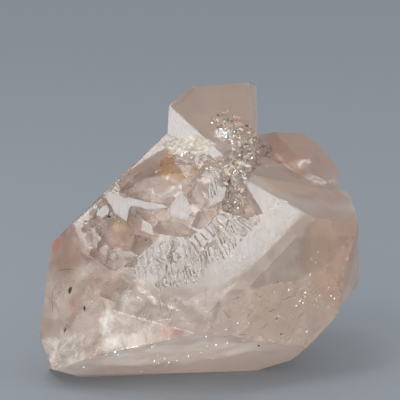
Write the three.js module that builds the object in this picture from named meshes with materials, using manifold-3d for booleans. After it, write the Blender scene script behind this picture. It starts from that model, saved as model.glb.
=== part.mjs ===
// Herkimer diamond: a doubly terminated quartz crystal with two smaller crystals grown into
// its upper end, a skeletal (hopper) front face and a crust of tiny crystals at the contact.
// Millimetres, +Z up. The cluster rests on one small level facet, and its origin lies on the
// surface under it, below the middle of its box.
import * as THREE from 'three';
import { ConvexGeometry } from 'three/addons/geometries/ConvexGeometry.js';
import * as BufferGeometryUtils from 'three/addons/utils/BufferGeometryUtils.js';
import Module from 'manifold-3d';

const wasm = await Module();
wasm.setup();
const { Manifold, Mesh: SolidMesh } = wasm;

// ---------------------------------------------------------------- driving dimensions
// The c axis of the main crystal, which its neighbours share within a few degrees.
const axisBearing = 38.4; // degrees from +X towards +Y
const axisRise = 34.4; // degrees above level
const frontRoll = 26.6; // degrees about the axis, from straight up to the front face
const rhombLean = 51.8; // degrees between a rhombohedron face's normal and the c axis

const mainCentre = [0, 0, 22.6];
const topCentre = [2, 8, 36.5];
const rightCentre = [15, 14, 29];

// Angles in degrees, distances in mm from the crystal's centre to the facet's plane.
// onAxis: turn about the c axis from the front face, then lean of the normal from the axis.
// facing: bearing of the normal from +X towards +Y, then its rise above level.
const mainFacets = {
  front: onAxis(0, 90, 7.7),
  ridgeStrip: onAxis(9, 90, 10.15),
  frontLow: facing(-103.35, 42.56, 9.347),
  lowerRight: onAxis(60, 90, 19.3),
  upperLeft: onAxis(-55, 90, 15.3),
  lowerEdge: onAxis(120, 90, 25.5),
  back: onAxis(180, 90, 19.9),
  backLeft: onAxis(-120, 90, 17.9),
  shoulder: onAxis(0, rhombLean, 11.2),
  shoulderLeft: onAxis(-60, rhombLean, 19.95),
  shoulderBack: onAxis(180, rhombLean, 23.6),
  shoulderBackLeft: onAxis(-120, rhombLean, 12.6),
  right: facing(0.5, 8.8, 25.6),
  rightShoulder: facing(20.4, 55.7, 18.6),
  rightLower: facing(-15, -10.3, 25.2),
  apron: facing(-108.9, 18.4, 18.1),
  underside: facing(-78.6, -57.8, 22.6),
  toe: facing(-82, -70, 23.35),
  rest: facing(0, -90, 22.6),
  leftFront: facing(-129.8, 20.7, 18.25),
  left: facing(170.6, 3.3, 22.6),
  leftCorner: facing(-166.4, -17.2, 30.9),
  leftToe: facing(-134.4, -68.2, 28.4),
  rightToe: facing(-18.5, -69, 24.8),
  backToe: facing(137, -40.8, 28.6),
};
const topFacets = {
  frost: facing(-107.2, 33, 3.98),
  window: facing(-89.3, 47, 3.35),
  left: facing(-177.8, 3.9, 7.56),
  leftBevel: facing(154.7, 34.4, 9.15),
  top: facing(120.8, 79.6, 9.4),
  right: facing(-8.3, 8.2, 6.78),
  back: facing(90.4, -41, 5.55),
  foot: facing(-119.9, -78.5, 8.2),
};
const rightFacets = {
  frontLeft: facing(-136.8, 34.1, 3.3),
  frontRight: facing(-30.8, 33, 5.76),
  brow: facing(-67.6, 67.3, 5.34),
  upperRight: facing(29.1, 36.9, 8.45),
  right: facing(-2.5, 2.2, 8.96),
  back: facing(96.3, -24.5, 6.5),
  left: facing(170.5, 16.9, 8.9),
  foot: facing(-90, -80, 9),
  top: facing(92.8, 65.5, 8.75),
};

// The front face has its own ruler: along the axis and across it, from the tip where the
// front, the ridge and the shoulder meet, with depth measured inwards.
// Hopper hollows: left open while the rims grew, with sloping walls. A floor drops by its
// tilt, in mm for each mm along the axis and across it. Wide shallow terraces come first,
// then the pits in them.
const pitSlope = 0.45; // mm that a wall runs in for each mm of depth
const pits = {
  upperTerrace: {
    depth: 0.45,
    tilt: [-0.02, -0.09],
    rim: [[-15.2, 31.4], [-3, 31.6], [-1, 25], [-3.6, 20.8], [-11, 20.4], [-14, 25.4]],
  },
  leftTerrace: {
    depth: 0.4,
    tilt: [0.09, -0.05],
    rim: [[-26.6, 25.6], [-25.6, 31], [-15.8, 31.4], [-16.4, 27], [-18.4, 24.4], [-23, 23.6]],
  },
  middleTerrace: {
    depth: 0.5,
    tilt: [-0.07, 0.07],
    rim: [[-26.4, 19], [-26.2, 24.4], [-20.6, 25.6], [-15, 25.6], [-12.6, 21.2], [-15.6, 17.4], [-22, 17.8]],
  },
  innerTerrace: {
    depth: 0.5,
    tilt: [0.08, 0.07],
    rim: [
      [-14.4, 21.6], [-8, 21.6], [-0.6, 21.4], [0.2, 16.4], [-5.2, 13.4], [-8.2, 12.7], [-12.8, 12.9],
      [-16.4, 16.4],
    ],
  },
  clearWindow: {
    depth: 0.9,
    tilt: [0.03, 0.07],
    rim: [[-11.4, 21.5], [-8.4, 21.1], [-5.2, 22.6], [-5.3, 27.2], [-8.5, 29.4], [-14, 29.6], [-13.1, 25.4]],
  },
  roseHollow: {
    depth: 1.4,
    tilt: [-0.12, 0.1],
    rim: [[-23.3, 23], [-21.6, 21.2], [-18.5, 21.8], [-15.6, 23.2], [-15.4, 25.6], [-18, 27.3], [-22.2, 27]],
  },
  lensHollow: {
    depth: 1.1,
    tilt: [0.05, 0.22],
    rim: [[-21.9, 20], [-18.9, 21.4], [-17.9, 18.8], [-18.8, 17.5], [-21.4, 17.8]],
  },
  leftBowl: {
    depth: 1.5,
    tilt: [0.3, 0.1],
    rim: [[-16.9, 19.7], [-14.5, 19.9], [-13.2, 17.6], [-12.9, 13.3], [-14.7, 14], [-16.3, 16.8]],
  },
  middleBowl: {
    depth: 1.2,
    tilt: [0.02, 0.24],
    rim: [[-12.6, 14.8], [-12.2, 13.1], [-8.4, 13], [-7.8, 14.1], [-9.4, 16.3], [-10.9, 15.3]],
  },
  rightBowl: {
    depth: 1.3,
    tilt: [-0.16, 0.16],
    rim: [[-8.7, 17.9], [-7.6, 15.9], [-6.2, 18.3], [-4.2, 21.2], [-7.7, 20.5]],
  },
  stainedHollow: {
    depth: 1.2,
    tilt: [0.08, -0.16],
    rim: [[-7.6, 23.4], [-4, 22.1], [-1.8, 23.4], [-2, 26.8], [-4.8, 28.6], [-7.6, 26.4]],
  },
  deepCleft: {
    depth: 2.6,
    tilt: [0.1, 0.1],
    rim: [[0.3, 15.6], [-3.9, 6.9], [-6.4, 9.2], [-7.3, 12.7], [-4.8, 14.5], [-1.3, 18.4]],
  },
  stripeGap: {
    depth: 1,
    tilt: [0.3, 0],
    rim: [[-15.8, 21.5], [-14.2, 21.5], [-14.8, 24.6], [-15.6, 24.6]],
  },
  creamStep: {
    depth: 0.8,
    tilt: [0.1, 0.3],
    rim: [[-21.7, 28], [-18.7, 27.8], [-17.5, 29.2], [-19, 29.9], [-21.5, 29.3]],
  },
  rimGap: {
    depth: 1,
    tilt: [0.2, 0],
    rim: [[-26.7, 19.3], [-24.6, 18.4], [-24.3, 21.6], [-25.2, 25], [-26.4, 24.4]],
  },
  wedgeGap: {
    depth: 0.8,
    tilt: [0.1, 0.2],
    rim: [[-25.1, 18.3], [-21.9, 18.2], [-23.5, 16.6]],
  },
  seamGapLeft: {
    depth: 0.7,
    tilt: [0, 0],
    rim: [[-14.2, 10.3], [-12.5, 10.1], [-12.6, 9.2], [-13.6, 8.9]],
  },
  seamGapRight: {
    depth: 0.8,
    tilt: [0.1, 0],
    rim: [[-11.7, 10.1], [-10, 11.5], [-9.8, 10.1], [-11, 9]],
  },
  crackGap: {
    depth: 0.8,
    tilt: [0.1, 0.1],
    rim: [[-17.9, 14.6], [-16.2, 15.8], [-15.8, 14.9], [-17.4, 13.6]],
  },
  lowerLeftWindow: {
    depth: 1.4,
    tilt: [0.1, 0.1],
    rim: [[-31.2, 18.6], [-26.7, 17.4], [-26.9, 15.2], [-31, 15]],
  },
};
// Islands: outlines of what the hollows left standing at the level of the face.
const islands = {
  keystone: [[-8.2, 20.9], [-11.4, 20.4], [-13, 19], [-12.6, 18], [-11.8, 15.6], [-10.2, 17], [-8.6, 19.2]],
  streaked: [[-0.9, 20.9], [-3.3, 18.8], [-5.1, 17.6], [-7.8, 15], [-5.7, 14.2], [-3.3, 15.2], [-1.7, 18]],
  blade: [
    [-16.1, 30.6], [-15.4, 29.8], [-14.8, 27.9], [-14, 27.1], [-13.6, 26.1], [-13.2, 24.5], [-12.6, 23.3],
    [-11.8, 21.7], [-11.9, 20.5], [-13.4, 22.1], [-14.2, 23.1], [-14.6, 25.2], [-15, 26], [-17.9, 24.1],
    [-17.8, 26.9], [-17, 28.2], [-16.7, 29.2],
  ],
  step: [[-19.9, 29.1], [-18.9, 29.5], [-17.3, 29.2], [-17.7, 28.1], [-18.6, 27.6], [-19.6, 27.9]],
  longBar: [[-24.8, 24.3], [-23.3, 25.5], [-21.8, 27.6], [-22.3, 27.9], [-23.6, 26.4], [-25.2, 24.9]],
  shortBar: [[-25.4, 21.8], [-23.6, 23.1], [-23.4, 23.8], [-24.4, 24], [-25.1, 23.1]],
  dart: [[-16.1, 22.3], [-17.9, 20.9], [-17.5, 18.4], [-16, 20.5]],
  leftDart: [[-23.4, 21.7], [-24, 20], [-22.1, 18.2], [-21.9, 19.3]],
};
// Comb grooves: rows of narrow slots between the skeletal ribs. Tilt turns a row's first and
// last slot from square across the axis, and stray is how far slots differ from their row.
const combs = {
  teeth: {
    from: [-21.4, 8],
    to: [-4.6, 7.2],
    count: 30,
    length: 1.2,
    width: 0.26,
    depth: 0.45,
    tilt: [-34, -8],
    stray: 1.6,
  },
  frontRow: {
    from: [-19.2, 9.2],
    to: [-5.8, 8.9],
    count: 18,
    length: 2.7,
    width: 0.36,
    depth: 0.85,
    tilt: [-38, -12],
    stray: 1.3,
  },
  backRow: {
    from: [-15.4, 11.6],
    to: [-7.7, 11.8],
    count: 7,
    length: 2.4,
    width: 0.44,
    depth: 0.85,
    tilt: [-24, -6],
    stray: 1.2,
  },
  seam: {
    from: [-17.2, 10.2],
    to: [-6.6, 10.3],
    count: 11,
    length: 1.3,
    width: 0.4,
    depth: 0.7,
    tilt: [-74, -62],
    stray: 1.6,
  },
  leftTeeth: {
    from: [-24.7, 12],
    to: [-21.8, 8.3],
    count: 10,
    length: 1.3,
    width: 0.26,
    depth: 0.45,
    tilt: [-30, -38],
    stray: 1.6,
  },
  leftRow: {
    from: [-23, 11.2],
    to: [-19.8, 9.4],
    count: 6,
    length: 2.4,
    width: 0.32,
    depth: 0.7,
    tilt: [-42, -40],
    stray: 1.4,
  },
  cracks: {
    from: [-22, 12],
    to: [-17.2, 14.7],
    count: 6,
    length: 4,
    width: 0.34,
    depth: 0.9,
    tilt: [-58, -52],
    stray: 1,
  },
  cells: {
    from: [-21.4, 14.8],
    to: [-17.2, 12],
    count: 7,
    length: 1.9,
    width: 0.32,
    depth: 0.65,
    tilt: [18, -30],
    stray: 1.8,
  },
  corner: {
    from: [-24, 16],
    to: [-21.6, 15.2],
    count: 4,
    length: 2.4,
    width: 0.28,
    depth: 0.6,
    tilt: [40, -44],
    stray: 1.6,
  },
  flank: {
    from: [-6.7, 16.3],
    to: [-2.9, 17.4],
    count: 7,
    length: 3,
    width: 0.22,
    depth: 0.4,
    tilt: [-36, -36],
    stray: 1,
  },
};

// The crust: tiny crystals on the surface along the seams where the three crystals meet. They
// stray from a seam's route, and each sits half sunk in what it grew on.
const crusts = [
  {
    route: [
      [3.4, 6, 40.4],
      [6.2, 5, 38.8],
      [8.6, 4, 36.8],
      [6.9, 1.6, 34.6],
      [5.2, -0.6, 32.4],
      [5.6, -3.5, 29.8],
      [6, -5.2, 27.2],
    ],
    count: 112,
    radius: [0.3, 0.85],
    spread: 2.1,
  },
  {
    route: [
      [-4.4, 1, 35.4],
      [-2, 0.8, 34.9],
      [0.8, 0.4, 34.2],
      [2.6, 0, 33.2],
    ],
    count: 38,
    radius: [0.22, 0.5],
    spread: 1.4,
  },
];
const crustSide = facing(-90, 20).normal; // the side from which a crust settled
const crustHold = 0.25; // least share of a tiny crystal that is sunk in the others

// ---------------------------------------------------------------- directions
function direction(bearing, rise) {
  const b = THREE.MathUtils.degToRad(bearing);
  const r = THREE.MathUtils.degToRad(rise);
  return new THREE.Vector3(Math.cos(r) * Math.cos(b), Math.cos(r) * Math.sin(b), Math.sin(r));
}

// The quartz frame: z along the c axis, x out of the front face, y across it.
function quartzFrame() {
  const z = direction(axisBearing, axisRise);
  const up = new THREE.Vector3(0, 0, 1);
  const x = up.addScaledVector(z, -up.dot(z)).normalize();
  x.applyAxisAngle(z, THREE.MathUtils.degToRad(frontRoll));
  const y = new THREE.Vector3().crossVectors(z, x);
  return { x, y, z };
}

function onAxis(turn, lean, distance) {
  const frame = quartzFrame();
  const t = THREE.MathUtils.degToRad(turn);
  const l = THREE.MathUtils.degToRad(lean);
  const normal = new THREE.Vector3()
    .addScaledVector(frame.z, Math.cos(l))
    .addScaledVector(frame.x, Math.sin(l) * Math.cos(t))
    .addScaledVector(frame.y, Math.sin(l) * Math.sin(t));
  return { normal, distance };
}

function facing(bearing, rise, distance) {
  return { normal: direction(bearing, rise), distance };
}

// ---------------------------------------------------------------- solids
function solid(geometry) {
  const bare = geometry.clone();
  bare.deleteAttribute('normal');
  bare.deleteAttribute('uv');
  const merged = BufferGeometryUtils.mergeVertices(bare, 1e-4);
  return new Manifold(new SolidMesh({
    numProp: 3,
    vertProperties: new Float32Array(merged.attributes.position.array),
    triVerts: new Uint32Array(merged.index.array),
  }));
}

// Where three planes meet, or null if they run side by side.
function meeting(a, b, c) {
  const bc = new THREE.Vector3().crossVectors(b.normal, c.normal);
  const det = a.normal.dot(bc);
  if (Math.abs(det) < 1e-6) return null;
  const ca = new THREE.Vector3().crossVectors(c.normal, a.normal);
  const ab = new THREE.Vector3().crossVectors(a.normal, b.normal);
  return bc.multiplyScalar(a.distance)
    .addScaledVector(ca, b.distance)
    .addScaledVector(ab, c.distance)
    .divideScalar(det);
}

// A convex crystal: its corners are the meetings of three facets that lie inside all others.
function crystal(facets, centre) {
  const planes = Object.values(facets);
  const corners = [];
  planes.forEach((a, i) => {
    planes.slice(i + 1).forEach((b, j) => {
      planes.slice(i + j + 2).forEach((c) => {
        const p = meeting(a, b, c);
        if (!p || planes.some((f) => f.normal.dot(p) > f.distance + 1e-5)) return;
        if (corners.some((q) => q.distanceTo(p) < 0.12)) return;
        corners.push(p);
      });
    });
  });
  const geometry = new ConvexGeometry(corners);
  geometry.translate(...centre);
  return solid(geometry);
}

// ---------------------------------------------------------------- the front face
const frame = quartzFrame();
const tip = meeting(mainFacets.front, mainFacets.lowerRight, mainFacets.shoulder)
  .add(new THREE.Vector3(...mainCentre));

// A point of the front face's ruler: along the axis, across it, and down into the crystal.
function onFront(along, across, depth) {
  return tip.clone()
    .addScaledVector(frame.z, along)
    .addScaledVector(frame.y, -across)
    .addScaledVector(frame.x, -depth);
}

// A hopper pit's cutter: its rim widens above the face and narrows to the tilted floor.
function pitCutter({ depth, tilt, rim }) {
  const middle = [0, 1].map((k) => rim.reduce((sum, corner) => sum + corner[k] / rim.length, 0));
  const ring = (level, isFloor) => rim.map((corner) => {
    const away = corner.map((value, k) => value - middle[k]);
    const scale = 1 - (level * pitSlope) / Math.hypot(...away);
    const drop = isFloor ? tilt[0] * away[0] + tilt[1] * away[1] : 0;
    return onFront(middle[0] + away[0] * scale, middle[1] + away[1] * scale, level + drop);
  });
  return solid(new ConvexGeometry([...ring(-0.8, false), ...ring(depth, true)]));
}

// An island's prism, which no hollow cuts into.
function islandPrism(outline) {
  const shape = new THREE.Shape(outline.map((corner) => new THREE.Vector2(...corner)));
  const geometry = new THREE.ExtrudeGeometry(shape, { depth: 8, bevelEnabled: false });
  geometry.translate(0, 0, -6);
  const ruler = new THREE.Matrix4().makeBasis(frame.z, frame.y.clone().negate(), frame.x);
  return solid(geometry.applyMatrix4(ruler.setPosition(tip)));
}

// A comb groove's cutter: a V along the groove, shallower at both ends.
function grooveCutter(along, across, { length, width, depth, tilt }) {
  const t = THREE.MathUtils.degToRad(tilt);
  const point = (u, v, level) => onFront(
    along + u * Math.cos(t) - v * Math.sin(t),
    across + u * Math.sin(t) + v * Math.cos(t),
    level,
  );
  const lip = -0.3;
  return solid(new ConvexGeometry([
    point(-width, -length / 2, lip),
    point(width, -length / 2, lip),
    point(-width, length / 2, lip),
    point(width, length / 2, lip),
    point(0, -length * 0.3, depth),
    point(0, length * 0.42, depth * 0.7),
  ]));
}

// Repeatable scatter from -1 to 1 for the n-th thing of a kind.
function stray(n, kind) {
  const s = Math.sin(n * 12.9898 + kind * 78.233) * 43758.5453;
  return (s - Math.floor(s)) * 2 - 1;
}

function combCutters(comb, kind) {
  return Array.from({ length: comb.count }, (_, i) => {
    const t = i / (comb.count - 1);
    const off = (least, k) => least * comb.stray * stray(i, kind + k);
    const along = THREE.MathUtils.lerp(comb.from[0], comb.to[0], t) + off(0.16, 0);
    const across = THREE.MathUtils.lerp(comb.from[1], comb.to[1], t) + off(0.3, 1);
    return grooveCutter(along, across, {
      length: comb.length * (1 + off(0.25, 2)),
      width: (comb.width / 2) * (1 + off(0.2, 5)),
      depth: comb.depth * (1 + off(0.2, 3)),
      tilt: THREE.MathUtils.lerp(...comb.tilt, t) + off(9, 4),
    });
  });
}

// ---------------------------------------------------------------- the crust
// A tiny doubly terminated crystal: two hexagon rings and two points.
function tinyCrystal(radius, halfLength) {
  const points = [new THREE.Vector3(0, 0, halfLength), new THREE.Vector3(0, 0, -halfLength)];
  for (let k = 0; k < 6; k += 1) {
    const a = (k * Math.PI) / 3;
    const x = radius * Math.cos(a);
    const y = radius * Math.sin(a);
    const shoulder = halfLength - radius * 1.1;
    points.push(new THREE.Vector3(x, y, shoulder), new THREE.Vector3(x, y, -shoulder));
  }
  return new ConvexGeometry(points);
}

// The nearest point of the surface to a crust's side, or null beside the crystals.
function onSurface(mesh, place) {
  const start = place.clone().addScaledVector(crustSide, 60);
  const [hit] = new THREE.Raycaster(start, crustSide.clone().negate()).intersectObject(mesh);
  return hit ? hit.point : null;
}

function tinyCrystals({ route, count, radius: [least, most], spread }, kind, mesh) {
  const seam = new THREE.CatmullRomCurve3(route.map((p) => new THREE.Vector3(...p)));
  return Array.from({ length: count }, (_, i) => {
    const radius = THREE.MathUtils.lerp(least, most, (0.5 + 0.5 * stray(i, kind + 1)) ** 2);
    const away = new THREE.Vector3(stray(i, kind + 2), 0, stray(i, kind + 4));
    const place = onSurface(mesh, seam.getPointAt((i + 0.5) / count).addScaledVector(away, spread));
    if (!place) return null;
    const turn = new THREE.Euler(
      Math.PI * stray(i, kind + 5),
      Math.PI * stray(i, kind + 6),
      Math.PI * stray(i, kind + 7),
    );
    const geometry = tinyCrystal(radius, radius * (1.7 + 0.3 * stray(i, kind + 8)));
    geometry.applyQuaternion(new THREE.Quaternion().setFromEuler(turn));
    geometry.translate(place.x, place.y, place.z);
    return solid(geometry);
  }).filter((tiny) => tiny);
}

// ---------------------------------------------------------------- the cluster
function cluster() {
  let body = crystal(mainFacets, mainCentre);
  const standing = Manifold.union(Object.values(islands).map(islandPrism));
  Object.values(pits).map(pitCutter).forEach((cutter) => {
    body = body.subtract(cutter.subtract(standing));
  });
  Object.values(combs).flatMap((comb, i) => combCutters(comb, 10 * (i + 1))).forEach((cutter) => {
    body = body.subtract(cutter);
  });
  body = body.add(crystal(topFacets, topCentre)).add(crystal(rightFacets, rightCentre));
  const bare = body;
  const bareMesh = new THREE.Mesh(geometryOf(bare));
  crusts.flatMap((crust, i) => tinyCrystals(crust, 10 * (i + 1), bareMesh))
    .filter((tiny) => tiny.intersect(bare).volume() > crustHold * tiny.volume())
    .forEach((tiny) => {
      body = body.add(tiny);
    });
  // Only the outer shell counts: a pocket shut in among tiny crystals is filled with quartz.
  return body.decompose().sort((a, b) => b.volume() - a.volume())[0];
}

function geometryOf(body) {
  const { vertProperties, triVerts } = body.getMesh();
  const geometry = new THREE.BufferGeometry();
  geometry.setAttribute('position', new THREE.BufferAttribute(new Float32Array(vertProperties), 3));
  geometry.setIndex(new THREE.BufferAttribute(new Uint32Array(triVerts), 1));
  return geometry;
}

// Moves a shape so that the middle of its box's underside is the origin.
function settled(geometry) {
  geometry.computeBoundingBox();
  const { min, max } = geometry.boundingBox;
  return geometry.translate(-(min.x + max.x) / 2, -(min.y + max.y) / 2, -min.z);
}

const clearQuartz = new THREE.MeshStandardMaterial({
  color: 0xd9d2c6,
  roughness: 0.08,
  metalness: 0,
  transparent: true,
  opacity: 0.6,
  flatShading: true,
});

const herkimer = new THREE.Group();
const clusterMesh = new THREE.Mesh(settled(geometryOf(cluster())), clearQuartz);
clusterMesh.name = 'quartz_cluster';
herkimer.add(clusterMesh);

export default herkimer;
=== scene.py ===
import math

import bmesh
import bpy
import numpy as np
from mathutils import Matrix, Vector
from mathutils.bvhtree import BVHTree


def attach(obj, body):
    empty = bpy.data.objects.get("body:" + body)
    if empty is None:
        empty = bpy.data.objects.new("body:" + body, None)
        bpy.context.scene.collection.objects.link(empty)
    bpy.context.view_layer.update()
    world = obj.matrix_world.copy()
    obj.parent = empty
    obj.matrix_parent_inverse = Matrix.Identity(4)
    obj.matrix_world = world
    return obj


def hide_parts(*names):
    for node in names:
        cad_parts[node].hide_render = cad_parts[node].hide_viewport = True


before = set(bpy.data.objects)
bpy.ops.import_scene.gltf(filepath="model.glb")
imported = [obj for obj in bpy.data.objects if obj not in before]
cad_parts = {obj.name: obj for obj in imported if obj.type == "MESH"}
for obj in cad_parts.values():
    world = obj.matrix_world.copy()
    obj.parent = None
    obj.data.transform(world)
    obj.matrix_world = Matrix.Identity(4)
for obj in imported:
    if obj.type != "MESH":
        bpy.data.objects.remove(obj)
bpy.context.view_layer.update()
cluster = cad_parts["quartz_cluster"]
mm = 0.001
print("loaded the packed cluster")


# sRGB hex to linear: below 0.04045 a straight line, above it a power of 2.4
def linear(code, alpha=1.0):
    parts = np.array([int(code[i:i + 2], 16) for i in (1, 3, 5)]) / 255
    lin = np.where(parts <= 0.04045, parts / 12.92, ((parts + 0.055) / 1.055) ** 2.4)
    return (*lin.tolist(), alpha)


# adds one node: settings go to its own properties or its sockets, and a link comes from a node's
# first output or from (node, output)
def addNode(tree, kind, settings, links):
    node = tree.nodes.new("ShaderNode" + kind)
    for name, value in settings.items():
        if isinstance(name, str) and hasattr(node, name):
            setattr(node, name, value)
    for name, value in settings.items():
        if not (isinstance(name, str) and hasattr(node, name)):
            node.inputs[name].default_value = value
    for name, source in links.items():
        start, output = source if isinstance(source, tuple) else (source, 0)
        tree.links.new(start.outputs[output], node.inputs[name])
    return node


# an empty material and its node tree
def newMaterial(name):
    material = bpy.data.materials.new(name)
    material.use_nodes = True
    material.node_tree.nodes.clear()
    return material, material.node_tree


# a plain material whose gloss varies over grains that are "grain" mm wide
def addLustre(name, colour, metallic, grain, gloss):
    material, tree = newMaterial(name)
    place = addNode(tree, "TexCoord", {}, {})
    grains = addNode(tree, "TexNoise", {"Scale": 1 / (grain * mm), "Detail": 2.0},
                     {"Vector": (place, "Object")})
    roughness = addNode(tree, "MapRange", {"To Min": gloss[0], "To Max": gloss[1]}, {"Value": grains})
    surface = addNode(tree, "BsdfPrincipled", {"Base Color": linear(colour), "Metallic": metallic},
                      {"Roughness": roughness})
    addNode(tree, "OutputMaterial", {}, {"Surface": surface})
    return material


# camera: looks down a little on the middle of the cluster
view = {
    "target": (-0.786, 0.206, 22.6),  # mm
    "down": 10.0,  # degrees below level
    "distance": 300.0,  # mm
    "aimAbove": 4.95,  # mm up the picture from the target
    "frameWidth": 66.0,  # mm seen across at the target
    "framePixels": 400,
    "sensor": 36.0,  # mm
}
slope = math.radians(view["down"])
pictureUp = Vector((0, math.sin(slope), math.cos(slope)))
backwards = Vector((0, -math.cos(slope), math.sin(slope)))
eye = Vector(view["target"]) + view["distance"] * backwards
aim = Vector(view["target"]) + view["aimAbove"] * pictureUp
cameraData = bpy.data.cameras.new("camera")
cameraData.sensor_width = view["sensor"]
cameraData.lens = view["sensor"] * view["distance"] / view["frameWidth"]
cameraData.clip_start = 0.01  # m
camera = bpy.data.objects.new("camera", cameraData)
camera.location = eye * mm
camera.rotation_euler = (aim - eye).to_track_quat("-Z", "Y").to_euler()
bpy.context.scene.collection.objects.link(camera)
bpy.context.scene.camera = camera

# floor, world and lamps
studio = {
    "floorColour": "#9ca3aa",
    "floorHalf": 4.0,  # m
    "floorDrop": 5e-5,  # m below the stone, so that the two don't flicker
    "floorRoughness": 0.9,
    "worldColour": "#d3d5d8",
    "worldStrength": 0.92,
    "lamps": {  # m and W
        "overhead": {"centre": (-0.101, -0.014, 0.62), "size": (0.122, 0.128), "power": 0.275},
        "frontLeft": {"centre": (-0.345, -0.335, 0.62), "size": (0.2, 0.22), "power": 0.74},
        "frontFill": {"centre": (-0.35, -0.9, 0.105), "size": (1.2, 0.2), "power": 9.2,
                      "aim": (0, 0, 0.03)},
    },
}
half, level = studio["floorHalf"], -studio["floorDrop"]
floorMesh = bpy.data.meshes.new("floor")
floorCorners = [(-half, -half, level), (half, -half, level), (half, half, level), (-half, half, level)]
floorMesh.from_pydata(floorCorners, [], [(0, 1, 2, 3)])
floor = bpy.data.objects.new("floor", floorMesh)
bpy.context.scene.collection.objects.link(floor)
paper, tree = newMaterial("matt_paper")  # scatters light evenly, with no gloss
surface = addNode(tree, "BsdfPrincipled", {
    "Base Color": linear(studio["floorColour"]), "Roughness": studio["floorRoughness"],
}, {})
addNode(tree, "OutputMaterial", {}, {"Surface": surface})
floorMesh.materials.append(paper)

world = bpy.data.worlds.new("studio")
world.use_nodes = True
background = world.node_tree.nodes["Background"].inputs
background["Color"].default_value = linear(studio["worldColour"])
background["Strength"].default_value = studio["worldStrength"]
bpy.context.scene.world = world


# a rectangle of light that faces down, or towards its aim
def addSoftbox(name, centre, size, power, aim=None):
    data = bpy.data.lights.new(name, "AREA")
    data.shape = "RECTANGLE"
    data.size, data.size_y = size
    data.energy = power
    lamp = bpy.data.objects.new(name, data)
    lamp.location = centre
    if aim:
        lamp.rotation_euler = (Vector(aim) - Vector(centre)).to_track_quat("-Z", "Y").to_euler()
    bpy.context.scene.collection.objects.link(lamp)


for name, lamp in studio["lamps"].items():
    addSoftbox(name, **lamp)
bpy.context.scene.view_settings.view_transform = "Standard"
print("set the camera, floor and lamps")


# smooth scatter from 0 to 1: a random value at each corner of cubes "size" mm wide, blended between
def scatter(points, size, seed):
    cell = np.floor(points / size)
    part = points / size - cell
    part = part * part * (3 - 2 * part)
    total = np.zeros(len(points))
    for corner in np.ndindex(2, 2, 2):
        place = cell + corner
        wave = np.sin(place @ (12.9898, 78.233, 37.719) + seed * 4.137) * 43758.5453
        weight = np.prod(np.where(corner, part, 1 - part), axis=1)
        total += (wave - np.floor(wave)) * weight
    return total


# scatter at three sizes, each half as wide and half as strong, from -1 to 1
def rough(points, size, seed):
    layers = [(scatter(points, size / 2 ** k, seed + k) * 2 - 1) / 2 ** k for k in range(3)]
    return sum(layers) / 1.75


# 0 below low, 1 above high, an S-curve between
def ramp(value, low, high):
    part = np.clip((value - low) / (high - low), 0, 1)
    return part * part * (3 - 2 * part)


# 1 inside a polygon and 0 outside, blended over "soft" mm at its outline
def inPolygon(x, y, corners, soft):
    corners = np.array(corners, float)
    nearest = np.full(len(x), 1e9)
    inside = np.zeros(len(x), bool)
    for (x0, y0), (x1, y1) in zip(corners, np.roll(corners, -1, axis=0)):
        w, h = x1 - x0, y1 - y0
        part = np.clip(((x - x0) * w + (y - y0) * h) / (w ** 2 + h ** 2), 0, 1)
        nearest = np.minimum(nearest, np.hypot(x - x0 - part * w, y - y0 - part * h))
        inside ^= ((y0 > y) != (y1 > y)) & (x < w * (y - y0) / (h + 1e-12) + x0)
    return ramp(np.where(inside, nearest, -nearest), -soft / 2, soft / 2)


# plates that cover a plane, each round a jittered middle of a grid of cells "wide" by "long" mm. A
# point belongs to the nearest middle. Gives how far its plate's lean lifts it, which is its offset in
# cells times a random lean from -1 to 1, both ways, and three random numbers of the plate, the last
# two of which are where the leans come from
def plates(x, y, wide, long, seed):
    u, v = x / wide, y / long
    nearest = np.full(len(u), 1e9)
    found = np.zeros((5, len(u)))
    for stepU, stepV in np.ndindex(3, 3):
        cellU, cellV = np.floor(u) + stepU - 1, np.floor(v) + stepV - 1
        turns = np.outer(np.arange(5) + seed, np.full(len(u), 57.31))
        waves = np.sin(turns + cellU * 127.1 + cellV * 311.7) * 43758.5453
        chance = waves - np.floor(waves)
        offU, offV = u - cellU - chance[0], v - cellV - chance[1]
        away = offU ** 2 + offV ** 2
        found = np.where(away < nearest, np.stack([offU, offV, *chance[2:]]), found)
        nearest = np.minimum(nearest, away)
    offU, offV, chance, leanU, leanV = found
    return offU * (leanU - 0.5) * 2 + offV * (leanV - 0.5) * 2, chance, leanU, leanV


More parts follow.
